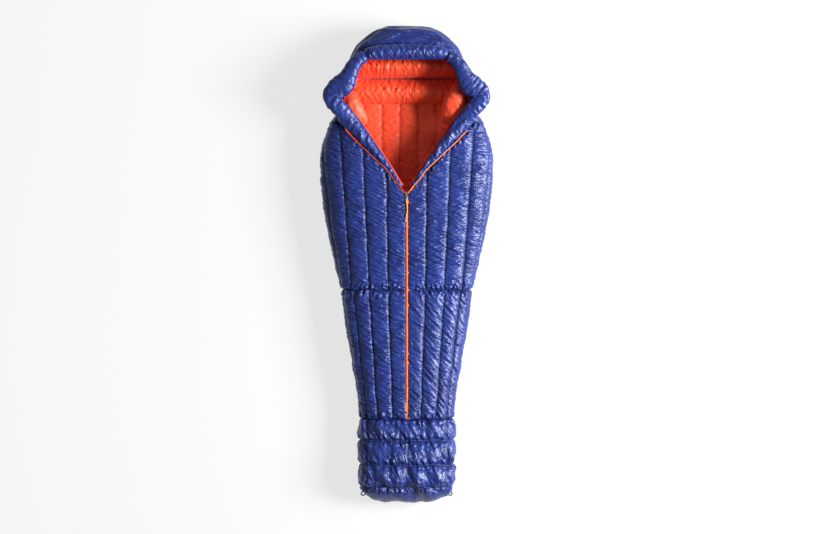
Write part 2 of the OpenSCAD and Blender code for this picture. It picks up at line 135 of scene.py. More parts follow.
world = bpy.data.worlds.new("studio")
bpy.context.scene.world = world
world.use_nodes = True
world.node_tree.nodes["Background"].inputs[0].default_value = (0.97, 0.98, 1.0, 1)
world.node_tree.nodes["Background"].inputs[1].default_value = 0.16


def softbox(name, place, aim, size, power):
    light = bpy.data.lights.new(name, "AREA")
    light.shape, light.size, light.size_y, light.energy = "RECTANGLE", *size, power
    lamp = bpy.data.objects.new(name, light)
    bpy.context.scene.collection.objects.link(lamp)
    lamp.location = place
    lamp.rotation_euler = (Vector(aim) - Vector(place)).to_track_quat("-Z", "Y").to_euler()


softbox("main_light", (6.2, 0.2, 3.7), (0, 0, 0), (2.8, 2.8), 1350)
softbox("top_light", (-1.4, 5.6, 4.0), (0, 0.1, 0), (1.6, 1.2), 18)
softbox("fill_light", (-4.0, -2.0, 6.0), (0, 0, 0), (2.4, 2.4), 24)

camera_data = bpy.data.cameras.new("camera")
camera_data.lens = 85
camera = bpy.data.objects.new("camera", camera_data)
bpy.context.scene.collection.objects.link(camera)
camera.location = (0.032, -0.014, 8.53)
camera_data.clip_end = 60
bpy.context.scene.camera = camera
bpy.context.scene.view_settings.view_transform = "Standard"


# ---- Pull cord ---------------------------------------------------------------------------
# A short braided cord knotted through the zip's metal pull, with a moulded bead on its end.
# It is the same weight of cord as a hood's drawcord, and lies down along the closed zip.
CORD_LINE = [(0, 0.2764, 0.1775), (0, 0.268, 0.1769), (0.001, 0.258, 0.1763), (0.002, 0.248, 0.1759),
             (0.003, 0.238, 0.1755), (0.003, 0.228, 0.1752), (0.002, 0.218, 0.1749),
             (0, 0.208, 0.1747), (-0.002, 0.198, 0.1744), (-0.003, 0.188, 0.1742)]
line = np.array(CORD_LINE)

braid, shader, wire = finish("cord_braid", Roughness=0.62, Sheen_Weight=0.3)
spot = wire.node("NewGeometry", out=0)
turns = wire.node("TexWave", {"bands_direction": "DIAGONAL"},
                  {"Vector": spot, "Scale": 260.0, "Distortion": 1.5})
join(turns.mix((0.75, 0.24, 0.04, 1), (1.0, 0.50, 0.14, 1)), shader, "Base Color")
join(wire.node("Bump", (), {"Strength": 0.6, "Distance": 0.0006, "Height": turns}), shader, "Normal")

cord_curve = bpy.data.curves.new("zip_pull_cord", "CURVE")
cord_curve.dimensions, cord_curve.bevel_depth, cord_curve.bevel_resolution = "3D", 0.002, 5
cord_curve.use_fill_caps = True
spline = cord_curve.splines.new("BEZIER")
spline.bezier_points.add(len(CORD_LINE) - 1)
for knot, place in zip(spline.bezier_points, CORD_LINE):
    knot.co = place
    knot.handle_left_type = knot.handle_right_type = "AUTO"
cord = bpy.data.objects.new("zip_pull_cord", cord_curve)
bpy.context.scene.collection.objects.link(cord)
cord_curve.materials.append(braid)
cord_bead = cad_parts["cord_end"]
cord_bead.data.materials.clear()
cord_bead.data.materials.append(braid)
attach(cord, "zip_pull")
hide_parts("pull_cord")


# ---- Chest and leg panels ----------------------------------------------------------------
# The front of the bag: light woven nylon sewn through to the lining in long chambers filled with down.
# Each half runs from the zip round the side to the ground, in a chest panel and a leg panel that are
# joined at the waist seam. The filling crowds the cloth, so it creases across the chambers.
END, FOOT, WAIST, NECK, CROWN, APEX = -1.031, -0.667, -0.113, 0.635, 1.031, 0.304
FOLD_X, FOLD_Y = 0.014, -0.650


def ramp(v, a, b):
    return np.clip((v - a) / (b - a), 0.0, 1.0)


def smooth(t):
    return t * t * (3 - 2 * t)


def half_width(y):
    """Half the width of the bag's outline at a place along it."""
    y = np.asarray(y, float)
    toe = 0.209 * (0.55 + 0.45 * (1 - (1 - ramp(y, END, END + 0.110)) ** 3.2))
    foot = toe + (0.204 - toe) * smooth(ramp(y, FOOT - 0.090, FOOT))
    t = ramp(y, FOOT, WAIST)
    leg = 0.204 + 0.079 * (t + smooth(t)) / 2
    t = ramp(y, WAIST, NECK)
    chest = 0.283 + 0.090 * np.sin(np.pi / 2 * ramp(t, 0, 0.747)) - 0.058 * ramp(t, 0.747, 1) ** 2
    return np.where(y < FOOT, foot, np.where(y < WAIST, leg, chest))


def top_height(y):
    """Height of the filled bag along its middle."""
    y = np.asarray(y, float)
    t = ramp(y, END, FOOT)
    toe = 0.172 + (0.150 - 0.172) * smooth(ramp(t, 0.35, 1))
    toe = 0.072 + (toe - 0.072) * np.sin(np.pi / 2 * ramp(t, 0, 0.3)) ** 0.7
    return np.where(y < FOOT, toe, 0.150 + 0.036 * (y - FOOT) / (NECK - FOOT))


GROUND_SHARE = 0.86
STATIONS = np.linspace(END, NECK + 0.08, 180)
GIRTH = np.zeros(len(STATIONS))
SECTIONS = np.zeros((len(STATIONS), 101, 2))
for i, y in enumerate(STATIONS):
    w, h = float(half_width(y)), float(top_height(y))
    a = np.linspace(0, np.pi / 2, 90)
    q = np.linspace(0, 1, 30)[1:]
    x = np.concatenate([w * np.sin(a) ** (2 / 3), w * (1 - (1 - GROUND_SHARE) * q ** 3)])
    z = np.concatenate([h * (0.5 + 0.5 * np.cos(a).clip(0) ** (2 / 3)), 0.5 * h * (1 - q) + 0.003 * q])
    run = np.concatenate([[0], np.cumsum(np.hypot(np.diff(x), np.diff(z)))])
    GIRTH[i] = run[-1]
    share = np.linspace(0, 1, 101) * run[-1]
    SECTIONS[i] = np.stack([np.interp(share, run, x), np.interp(share, run, z)], -1)


def girth(y):
    return np.interp(y, STATIONS, GIRTH)


def on_bag(arc, y):
    """Place and outward normal of the bag's surface, by distance round it from the middle of the top."""
    sign, arc = np.where(arc < 0, -1.0, 1.0), np.abs(arc)
    row = np.interp(y, STATIONS, np.arange(len(STATIONS)))
    col = np.clip(arc / girth(y), 0, 1) * 100
    r0, c0 = np.minimum(row.astype(int), len(STATIONS) - 2), np.minimum(col.astype(int), 99)
    fr, fc = (row - r0)[..., None], (col - c0)[..., None]
    a, b = SECTIONS[r0, c0], SECTIONS[r0, c0 + 1]
    c, d = SECTIONS[r0 + 1, c0], SECTIONS[r0 + 1, c0 + 1]
    xz = (a * (1 - fc) + b * fc) * (1 - fr) + (c * (1 - fc) + d * fc) * fr
    t = (b - a) * (1 - fr) + (d - c) * fr
    t = t / np.maximum(np.linalg.norm(t, axis=-1, keepdims=True), 1e-9)
    place = np.stack([xz[..., 0] * sign, y + 0 * arc, xz[..., 1]], -1)
    normal = np.stack([-t[..., 1] * sign, 0 * arc, t[..., 0]], -1)
    return place, normal


def swell(distance, reach=0.036):
    """Rise of a filled chamber from its seams: 0 at a seam and 1 from reach on."""
    r = np.clip(distance / reach, 0, 1)
    return np.sqrt(1 - (1 - r) ** 2)


def creases(cut, wavelength, lean, seed, spread=0.5, count=26):
    """Seeded folds, as a sum of waves whose ridges run across the piece and lean by an angle."""
    rng = np.random.default_rng(seed)
    total = 0
    for k in range(count):
        angle = lean + rng.normal(0, spread)
        number = 2 * np.pi / (wavelength * rng.uniform(0.6, 1.7))
        total = total + np.sin(number * (cut[..., 0] * np.sin(angle) + cut[..., 1] * np.cos(angle))
                               + rng.uniform(0, 2 * np.pi))
    return total / math.sqrt(count / 2)


def wander(place, share):
    """Sewn cloth is never quite straight: a slow drift of a few millimetres, the same for neighbours."""
    flat = place[..., :2]
    drift = np.stack([creases(flat, 0.10, 0.3, 5, spread=1.2) * 0.0010,
                      creases(flat, 0.07, 1.2, 6, spread=1.2) * 0.0020, 0 * share], -1)
    return place + drift * share[..., None]


def sewn_mesh(name, places, cut, seam, closed=False, flip=False, lean=0.0):
    """A mesh over rows and columns of places. It keeps where each point was in the flat cut cloth.

    The creases of the finish run across the second axis of the cut, turned by the lean.
    """
    cut = np.stack([cut[..., 0], cut[..., 1] + math.tan(lean) * cut[..., 0]], -1)
    index = np.arange(places.shape[0] * places.shape[1]).reshape(places.shape[:2])
    here, there = (index, np.roll(index, -1, 1)) if closed else (index[:, :-1], index[:, 1:])
    quads = np.stack([here[:-1], there[:-1], there[1:], here[1:]], -1).reshape(-1, 4)
    if flip:
        quads = quads[:, ::-1]
    mesh = bpy.data.meshes.new(name)
    mesh.from_pydata(places.reshape(-1, 3).tolist(), [], quads.tolist())
    mesh.shade_smooth()
    kept = mesh.attributes.new("cut", "FLOAT_VECTOR", "POINT")
    kept.data.foreach_set("vector", np.concatenate([cut, seam[..., None]], -1).astype(np.float32).ravel())
    return mesh


def coords(mesh):
    co = np.zeros(len(mesh.vertices) * 3, np.float32)
    mesh.vertices.foreach_get("co", co)
    return co.reshape(-1, 3)


SETTLE_FRAMES, PRESSURE = 20, 1.0


def settle(pieces, cap=0.013):
    """Fills pieces with down, as cloth under pressure, and keeps the result.

    Each comes with its cut shape and the points that its seams hold. No point moves more than cap.
    """
    for piece, cut_shape, held in pieces:
        piece.shape_key_add(name="Basis")
        key = piece.shape_key_add(name="cut_shape")
        key.data.foreach_set("co", cut_shape.astype(np.float32).ravel())
        group = piece.vertex_groups.new(name="sewn")
        group.add(np.flatnonzero(held.ravel()).tolist(), 1.0, "REPLACE")
        cloth = piece.modifiers.new("cloth", "CLOTH")
        s = cloth.settings
        s.quality, s.mass, s.air_damping = 4, 0.12, 2.0
        s.tension_stiffness = s.compression_stiffness = 12
        s.shear_stiffness, s.bending_stiffness = 3, 0.05
        s.vertex_group_mass, s.rest_shape_key = "sewn", key
        s.use_pressure, s.uniform_pressure_force = True, PRESSURE
        s.effector_weights.gravity = 0
        cloth.collision_settings.use_collision = False
        cloth.collision_settings.use_self_collision = False
        cloth.point_cache.frame_start, cloth.point_cache.frame_end = 1, SETTLE_FRAMES
    for now in range(1, SETTLE_FRAMES + 1):
        bpy.context.scene.frame_set(now)
    graph = bpy.context.evaluated_depsgraph_get()
    for piece, _, _ in pieces:
        start = coords(piece.data)
        moved = coords(piece.evaluated_get(graph).data) - start
        piece.modifiers.clear()
        piece.shape_key_clear()
        far = np.linalg.norm(moved, axis=1, keepdims=True)
        moved *= np.minimum(1, cap / np.maximum(far, 1e-9))
        piece.data.vertices.foreach_set("co", (start + moved).ravel())
        piece.data.update()
    bpy.context.scene.frame_set(1)
    for piece, _, _ in pieces:
        rounding = piece.modifiers.new("subdivision", "SUBSURF")
        rounding.levels = rounding.render_levels = 1


STITCHES_PER_METRE, WEAVE = 165.0, 2600.0


def woven(name, seam_shade, main, light, crumple, dull, **constants):
    """Thin woven nylon, from the height of its crumples in metres and its least roughness.

    Its tone drifts, painted shade darkens it at the seams' valleys, which have stitches, and it creases
    across the cut.
    """
    material, shader, wire = finish(name, **constants)
    cut = wire.node("Attribute", {"attribute_name": "cut"}, out=1)
    across, along, seam = [wire.node("SeparateXYZ", (), {0: cut}, out=k) for k in range(3)]
    drift = wire.node("TexNoise", (), {"Vector": cut, "Scale": 9.0, "Detail": 4.0, "Roughness": 0.6})
    stretched = wire.node("CombineXYZ", (), {0: across * 26.0, 1: along * 95.0, 2: 0.0})
    fine = wire.node("TexNoise", (), {"Vector": stretched, "Scale": 1.0, "Detail": 5.0, "Roughness": 0.62,
                                      "Distortion": 0.7})
    by_seam = 1 - seam.between(0.0, 0.010)
    stitches = (along * (2 * STITCHES_PER_METRE)).math("PINGPONG", 1.0)
    thread = (1 - seam.between(0.0004, 0.0010)) * stitches.between(0.25, 0.4)
    weave = (across * WEAVE).math("SINE") * (along * WEAVE).math("SINE")
    lines = wire.node("CombineXYZ", (), {0: across * 15.0, 1: along * 62.0, 2: 0.0})
    lines = wire.node("TexNoise", (), {"Vector": lines, "Scale": 1.0, "Detail": 2.0, "Roughness": 0.45,
                                       "Distortion": 0.5})
    crease = (lines - 0.5).math("ABSOLUTE").between(0.0, 0.16)
    body = drift.between(0.3, 0.7).mix(main, light)
    # Painted shade: near each seam the colour is mixed towards the darkest colour, for the shade in the
    # seam's valley.
    body = (by_seam * 0.45).mix(body, seam_shade)
    body = (thread * 0.5).mix(body, light)
    join(body, shader, "Base Color")
    join(dull + 0.12 * fine + 0.12 * by_seam, shader, "Roughness")
    near = 1.05 - seam.between(0.0, 0.03) * drift.between(0.38, 0.56) * 0.9
    height = (fine * 0.5 + crease * near * 0.45) * crumple + weave * 0.00001 + thread * 0.0004
    join(wire.node("Bump", (), {"Strength": 1.0, "Distance": 1.0, "Height": height}), shader, "Normal")
    return material


# The darkest blue is painted shade for the seam valleys.
BLUE_SEAM_SHADE, BLUE, BLUE_LIGHT = (0.001, 0.003, 0.03, 1), (0.008, 0.019, 0.138, 1), (0.015, 0.034, 0.215, 1)
nylon_blue = woven("nylon_blue", BLUE_SEAM_SHADE, BLUE, BLUE_LIGHT, 0.0052, 0.31, Sheen_Weight=0.04,
                   Sheen_Roughness=0.3, Specular_IOR_Level=0.65, Specular_Tint=(0.82, 0.87, 1.0, 1))

ZIP_LINE = ((0.0, 0.299), (0.076, 0.393), (0.154, 0.470), (0.238, 0.549), (0.290, 0.601),
            (0.34, 0.638), (0.50, 0.655))


def zip_y(x):
    """Where the open zip's line lies, at a distance out from the middle."""
    return np.interp(x, [p[0] for p in ZIP_LINE], [p[1] for p in ZIP_LINE])


def seam_lines(columns, low, high, y, y_low, y_high):
    """Distance round from the zip, distance from the nearest seam, and chamber, of fractional columns."""
    t = (y - y_low) / (y_high - y_low)
    knots = [a + (b - a) * t for a, b in zip(low, high)] + [girth(y) + 0 * y]
    k = np.minimum(columns.astype(int), len(low) - 1)
    stack = np.stack(np.broadcast_arrays(*knots), 0)
    a = np.take_along_axis(stack, k[None], 0)[0]
    b = np.take_along_axis(stack, k[None] + 1, 0)[0]
    arc = a + (b - a) * (columns - k)
    return arc, np.minimum(arc - a, b - arc), k


def column_numbers(widths, pitch):
    """Fractional columns, whole at the seams, that split chambers of these widths by about the pitch."""
    steps = [np.linspace(k, k + 1, max(4, int(round(w / pitch))) + 1)[:-1] for k, w in enumerate(widths)]
    return np.concatenate(steps + [[len(widths)]])


ZIP_EDGE, ZIP_SLOPE = 0.006, 0.75
CHEST_LOW, CHEST_HIGH = (ZIP_EDGE, 0.080, 0.162, 0.240, 0.300), (ZIP_EDGE, 0.085, 0.180, 0.270, 0.350)
LEG_LOW, LEG_HIGH = (ZIP_EDGE, 0.060, 0.127, 0.175, 0.214), (ZIP_EDGE, 0.080, 0.162, 0.232, 0.300)
DIPS = (0.005, 0.0095, 0.0095, 0.009, 0.008, 0.001)
PITCH = 0.0044


def front_grid(part, pitch, seed, lean=0.0):
    """Places, cut cloth and held points of one half of the chest or the leg, on the right-hand side."""
    low, high, y0, y1 = ((CHEST_LOW, CHEST_HIGH, WAIST, APEX) if part == "chest" else
                         (LEG_LOW, LEG_HIGH, FOOT, WAIST))
    cols = column_numbers([high[k + 1] - high[k] for k in range(4)] + [0.13], pitch)
    rows = np.linspace(0, 1, int((0.70 if part == "chest" else 0.554) / pitch) + 1)
    c = np.broadcast_to(cols, (len(rows), len(cols)))
    t = rows[:, None] + 0 * c
    end = np.full(c.shape, y1)
    if part == "chest":
        for _ in range(5):
            end = zip_y(seam_lines(c, low, high, end, y0, y1)[0])
    y = y0 + (end - y0) * t
    arc, apart, _ = seam_lines(c, low, high, y, y0, y1)
    if part == "leg":
        arc = arc - 0.0052 * ramp(-y, 0.640, 0.662) * np.clip(1 - c, 0, 1)
    dip = np.interp(c, range(6), DIPS)
    ends = np.minimum(y - y0, (end - y) * (ZIP_SLOPE if part == "chest" else 1))
    place, normal = on_bag(arc, y)
    rise = swell(apart, 0.041) * swell(ends, 0.03)
    cut = np.stack([arc, y], -1)
    fold = creases(cut, 0.017, lean, seed, spread=0.26) * 0.0017
    fold = fold + creases(cut, 0.06, lean, seed + 300) * 0.0012
    fold = fold * (1 - 0.5 * ramp(c, 3.6, 4.4))
    by_end = ends / 0.009 * np.exp(1 - ends / 0.009)    # most at 9 mm from the waist or foot seam
    pucker = creases(cut, 0.022, 1.35, seed + 600, spread=0.5) * 0.0026 * by_end * ramp(arc, 0.015, 0.05)
    pucker = pucker - 0.006 * (1 - swell(ends, 0.02)) * ramp(arc, 0.012, 0.04)
    place = place + normal * (dip * (rise - 1) + fold * rise + pucker)[..., None]
    opening = np.minimum(arc - ZIP_EDGE, (end - y) * ZIP_SLOPE if part == "chest" else 1)
    place = wander(place, ramp(opening, 0.004, 0.06) * ramp(place[..., 2], 0.01, 0.06))
    seam = np.minimum(apart, ends)
    held = (seam < 1e-6) | (c == cols[-1]) | (arc < 2 * ZIP_EDGE)
    return place, cut, seam, held


def cut_flat(cut, grow):
    """The cloth laid flat, cut fuller than the bag by a share each way."""
    return np.concatenate([cut * grow, 0 * cut[..., :1]], -1)


def across_fold(piece, side):
    """Bakes the piece's placement into its mesh; the fold line's start and end are worked out but not used.
    """
    reach = 0.095
    start = (side * FOLD_X, FOLD_Y, 0.15)
    end = (start[0] - side * reach * 0.9806, start[1] + reach * 0.1961, 0.15)
    "right_flap" if side > 0 else "left_flap"
    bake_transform(piece)


for part, nodes in (("chest", ("chest_panel", "side_chambers")), ("leg", ("leg_panel", "flap_chambers"))):
    pair = []
    for side, label in ((-1, "left"), (1, "right")):
        lean = 0.12 * side if part == "chest" else (-0.10 if side < 0 else 0.65)
        seed = 11 + side + (7 if part == "leg" else 0)
        place, cut, seam, held = front_grid(part, PITCH, seed, lean=lean)
        place[..., 0] *= side
        mesh = sewn_mesh(f"{label}_{part}_shell", place, cut, seam, flip=side < 0, lean=lean)
        shell = show(mesh.name, mesh, nylon_blue)
        pair.append((shell, cut_flat(cut * (side, 1), (1.03, 1.17)), held))
        for node in nodes:
            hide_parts(f"{label}_{node}")
    settle(pair)
    for (shell, flat, held), side in zip(pair, (-1, 1)):
        across_fold(shell, side)


# ---- Foot box ----------------------------------------------------------------------------
# Tubes of the same nylon sewn across the top of the feet, the last one closed over the toes, and a side
# seam near each edge. The cloth is fuller than the seams, so each tube puckers along its edges.
FOOT_SEAMS = (-0.960, -0.863, -0.758, FOOT)
FOOT_SIDE = 0.178
rows_y = np.concatenate([np.linspace(END, FOOT_SEAMS[0], 15)[:-1]]
                        + [np.linspace(a, b, int((b - a) / PITCH))[:-1]
                           for a, b in zip(FOOT_SEAMS[:-1], FOOT_SEAMS[1:])] + [[FOOT]])
cols = np.linspace(-1, 1, 2 * int(girth(FOOT) / PITCH) + 1)
y = np.broadcast_to(rows_y[:, None], (len(rows_y), len(cols)))
arc = cols[None] * girth(y)
ends = np.min([np.abs(y - s) for s in FOOT_SEAMS], axis=0)
side_seam = np.abs(np.abs(arc) - FOOT_SIDE)
place, normal = on_bag(arc, y)
rise = swell(ends, 0.042) * (0.45 + 0.55 * swell(side_seam, 0.02))
cut = np.stack([arc, y], -1)
by_end = ends / 0.012 * np.exp(1 - ends / 0.012)
fold = (creases(cut, 0.028, 1.2, 31, spread=0.6) * 0.0030 * by_end
        + creases(cut, 0.075, 0.95, 33, spread=0.5) * 0.0030 * rise)
dip = 0.021 - 0.012 * ramp(np.abs(cols), 0.55, 0.8)[None]
place = place + normal * (dip * (rise - 1) * (np.abs(cols) < 0.97) + fold)[..., None]
place = wander(place, ramp(place[..., 2], 0.01, 0.06))
fall = np.linspace(0, 1, 10)[:-1, None, None]
tuck = (1 - fall) ** 3
wall = place[:1] * np.concatenate([1 - 0.10 * tuck, 1 + 0 * tuck, fall], -1)
wall = wall + np.array([0, 0.012, 0]) * tuck
wall_cut = cut[:1] - (1 - fall) * np.stack([0 * cols, place[0, :, 2]], -1)[None]
place, cut = np.concatenate([wall, place]), np.concatenate([wall_cut, cut])
grown = [np.concatenate([np.repeat(v[:1], 9, 0), v]) for v in (ends, side_seam)]
held = (grown[0] < 1e-6) | (np.abs(cols)[None] > 0.999)
held[0] = True
mesh = sewn_mesh("foot_shell", place, cut[..., ::-1], np.minimum(*grown), lean=0.35)
foot_shell = show(mesh.name, mesh, nylon_blue)
settle([(foot_shell, cut_flat(cut, (1.08, 1.05)), held)])
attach(foot_shell, "root")
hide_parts("foot_top_chambers", "foot_toe_chamber")


# ---- Back --------------------------------------------------------------------------------
# The side that lies on the ground, in the same nylon: wide chambers from the foot to the hood, joined at
# the foot, waist and neck seams. The bag's weight presses them flat.
def hood_half(y):
    """Half the width of the hood's outline at a place along it."""
    t, n = ramp(y, 0.690, CROWN), smooth(ramp(y, 0.600, 0.690))
    side = np.where(y < 0.600, half_width(y), 0.3345 * (1 - n) + 0.280 * n)
    return side * (1 - 0.992 * t ** 2.4) ** (1 / 2.4)


rows_y, cols = np.linspace(END + 0.012, CROWN - 0.016, 190), np.linspace(-1, 1, 73)
y = np.broadcast_to(rows_y[:, None], (190, 73))
x = cols[None] * hood_half(y) * 0.88
long_seam = np.abs((cols[None] * 3 + 0.5) % 1 - 0.5) / 3 * hood_half(y)
cross_seam = np.min([np.abs(y - s) for s in (FOOT, WAIST, 0.600, -0.850)], axis=0)
seam = np.minimum(long_seam, cross_seam)
cut = np.stack([x, y], -1)
lift = 0.011 * (1 - swell(long_seam, 0.05) * swell(cross_seam, 0.05))
lift = lift + np.clip(creases(cut, 0.035, 0.1, 53), 0, 2) * 0.0018
lift[:, [0, -1]] = lift[[0, -1]] = 0.004
mesh = sewn_mesh("back_shell", np.stack([x, y, lift + 0.0002], -1), cut, seam, flip=True)
back_shell = show(mesh.name, mesh, nylon_blue)
back_shell.modifiers.new("subdivision", "SUBSURF")
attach(back_shell, "root")
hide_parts("back_torso_chambers", "back_leg_chambers", "foot_back_chambers",
            "hood_back_chambers")


# ---- Linings -----------------------------------------------------------------------------
# Orange nylon inside the bag, sewn through to the shell. One lining lies over the back and up the sides,
# one lies under each half of the front and meets its shell at the zip, and one closes the foot.
# The darkest orange is painted shade for the seam valleys.
ORANGE_SEAM_SHADE, ORANGE, ORANGE_LIGHT = (0.40, 0.014, 0.006, 1), (0.88, 0.068, 0.022, 1), (0.94, 0.1, 0.034, 1)
nylon_orange = woven("nylon_orange", ORANGE_SEAM_SHADE, ORANGE, ORANGE_LIGHT, 0.0030, 0.42, Sheen_Weight=0.15,
                     Sheen_Roughness=0.4, Specular_IOR_Level=0.4)

LINING_SEAMS = np.arange(-4, 5) * 0.078 + 0.049 - 0.078
LINING_FLOOR, LINING_SHARE, LINING_DROP = 0.044, 0.83, 0.045
rows_y, cols = np.linspace(-0.985, 0.800, 190), np.linspace(-1, 1, 97)
y = np.broadcast_to(rows_y[:, None], (190, 97))
wide = LINING_SHARE * np.where(y < 0.600, half_width(y), hood_half(y))
wide = wide - 0.006 - 0.014 * ramp(-y, 0.60, 0.75)
rim_z = np.where(y < 0.600, 0.84 * top_height(y) - 0.034, 0.13)
u = np.abs(cols)[None]
flat = ramp(u, 0, 0.72)
bend = ramp(u, 0.72, 0.86)
x = np.sign(cols)[None] * wide * (0.86 * flat + 0.14 * np.sin(bend * np.pi / 2))
z = LINING_FLOOR + 0.03 * (1 - np.cos(bend * np.pi / 2)) + (rim_z - LINING_FLOOR - 0.03) * ramp(u, 0.86, 1)
z = z + (0.12 - LINING_FLOOR) * ramp(-y, 0.945, 0.985) ** 2 * (1 - bend)
apart = np.min([np.abs(x - s) for s in LINING_SEAMS], axis=0)
cut = np.stack([x + np.sign(x) * (z - LINING_FLOOR), y], -1)
puff = 0.008 * swell(apart, 0.03) + creases(cut, 0.022, 0.1, 61, spread=0.4) * 0.0012
mesh = sewn_mesh("inner_lining", np.stack([x, y, z + puff * (u < 0.86)], -1), cut, apart)
inner_lining = show(mesh.name, mesh, nylon_orange)
inner_lining.modifiers.new("subdivision", "SUBSURF")
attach(inner_lining, "root")
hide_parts("back_lining", "left_side_lining", "right_side_lining")

for part in ("chest", "leg"):
    for side, label in ((-1, "left"), (1, "right")):
        place, cut, seam, _ = front_grid(part, 0.009, 71 + side, lean=0.1)
        under = place.copy()
        drop = LINING_DROP * swell(cut[..., 0] - ZIP_EDGE, 0.03)
        if part == "chest":
            drop = drop * swell((zip_y(cut[..., 0]) - cut[..., 1]) * ZIP_SLOPE, 0.035)
        under[..., 2] -= drop + 0.002
        keep = int(np.argmax(cut[0, :, 0] > (0.27 if part == "chest" else 0.18)))
        under, cut, seam = under[:, :keep], cut[:, :keep], seam[:, :keep]
        under[..., 0] *= side
        mesh = sewn_mesh(f"{label}_{part}_lining", under, cut, seam, flip=side > 0)
        lining = show(mesh.name, mesh, nylon_orange)
        across_fold(lining, side)
        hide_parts("front_lining", f"{label}_flap_lining")

rows_y, cols = np.linspace(-0.985, FOOT + 0.01, 40), np.linspace(-0.5, 0.5, 41)
y = np.broadcast_to(rows_y[:, None], (40, 41))
place, _ = on_bag(cols[None] * girth(y), y)
place[..., 2] = np.maximum(place[..., 2] - 0.05, 0.06)
mesh = sewn_mesh("foot_lining", place, np.stack([place[..., 0], y], -1), 0.02 + 0 * y, flip=True)
foot_lining = show(mesh.name, mesh, nylon_orange)
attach(foot_lining, "root")


# ---- Hood --------------------------------------------------------------------------------
# A deep hood of the same nylon round the head: a smooth outer cover over the crown and sides, sewn at its
# inner edge to the padded brim, and a lining inside that drops from that edge to the back.
def curve_through(points, count):
    """Even steps along a smooth line through points of any dimension."""
    p = np.asarray(points, float)
    p = np.concatenate([2 * p[:1] - p[1:2], p, 2 * p[-1:] - p[-2:-1]])
    t = np.linspace(0, len(p) - 3, 40 * len(p))
    k = np.minimum(t.astype(int), len(p) - 4)
    f = (t - k)[:, None]
    a, b, c, d = p[k], p[k + 1], p[k + 2], p[k + 3]
    fine = 0.5 * (2 * b + (c - a) * f + (2 * a - 5 * b + 4 * c - d) * f ** 2
                  + (3 * b - a - 3 * c + d) * f ** 3)
    run = np.concatenate([[0], np.cumsum(np.linalg.norm(np.diff(fine[:, :3], axis=0), axis=1))])
    steps = np.linspace(0, run[-1], count)
    return np.stack([np.interp(steps, run, fine[:, i]) for i in range(p.shape[1])], -1)


HOOD_EDGE = [(0, 0.934, 0.208), (0.075, 0.932, 0.206), (0.145, 0.921, 0.200), (0.192, 0.893, 0.194),
             (0.218, 0.855, 0.188), (0.238, 0.810, 0.184), (0.256, 0.765, 0.178), (0.270, 0.715, 0.172),
             (0.274, 0.665, 0.166), (0.268, 0.615, 0.158)]
HOOD_FOOT_Y = (1.031, 1.026, 1.002, 0.958, 0.905, 0.850, 0.790, 0.725, 0.665, 0.605)
edge_half = np.array(HOOD_EDGE)
foot_half = np.array([(float(hood_half(v)), v, 0.095) for v in HOOD_FOOT_Y])
foot_half[0, 0] = 0
both = np.concatenate([edge_half, foot_half], -1)
both = np.concatenate([both[:0:-1] * (-1, 1, 1, -1, 1, 1), both])
both = curve_through(both, 250)
edge, out = both[:, :3], both[:, 3:]
outward = out - edge
outward[:, 2] = 0
outward /= np.linalg.norm(outward, axis=1, keepdims=True)
turn = np.linspace(0, np.pi / 2, 22)[:, None, None]
q = np.linspace(0, 1, 12)[1:, None, None]
top = edge + (out - edge) * np.stack([np.sin(turn) ** 0.85] * 2 + [1 - np.cos(turn) ** 0.8], -1)[:, :, 0]
low = out - outward * 0.030 * q ** 3 - np.array([0, 0, 0.091]) * q
place = np.concatenate([top, low])
run_s = np.concatenate([[0], np.cumsum(np.linalg.norm(np.diff(out, axis=0), axis=1))])
run_t = np.cumsum(np.linalg.norm(np.diff(place, axis=0, prepend=place[:1]), axis=2), axis=0)
cut = np.stack([np.broadcast_to(run_s, run_t.shape), run_t], -1)
rise = swell(run_t, 0.03)
fold = creases(cut, 0.060, 0.0, 83, spread=0.22) * 0.0024 * rise
push = outward[None] * 0.5 + np.array([0, 0, 0.8])
place = place + push * (0.010 * (rise - 1) * np.clip(place[..., 2] / 0.1, 0, 1) + fold)[..., None]
held = np.zeros(run_t.shape, bool)
held[0] = held[-1] = held[:, 0] = held[:, -1] = True
mesh = sewn_mesh("hood_shell", place, cut, run_t, flip=True)
hood_shell = show(mesh.name, mesh, nylon_blue)
settle([(hood_shell, cut_flat(cut, (1.03, 1.06)), held)], cap=0.008)
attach(hood_shell, "root")
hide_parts("hood_crown", "hood_end", "left_hood_side", "right_hood_side")

inside = edge - outward * 0.004
floor_line = edge - outward * 0.034
floor_line[:, 2] = 0.046
t = np.linspace(0, 1, 16)[:, None, None]
place = inside + (floor_line - inside) * np.concatenate([t ** 1.5, t ** 1.5, t], -1)
cut = np.stack([np.broadcast_to(run_s, place.shape[:2]), place[..., 2]], -1)
puff = 0.006 * np.sin(np.pi * t[..., 0]) + creases(cut, 0.03, 0.8, 87) * 0.0015
place = place - outward * puff[..., None]
mesh = sewn_mesh("hood_lining", place, cut, 0.02 + 0 * cut[..., 0])
hood_lining = show(mesh.name, mesh, nylon_orange)
hood_lining.modifiers.new("subdivision", "SUBSURF")
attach(hood_lining, "root")


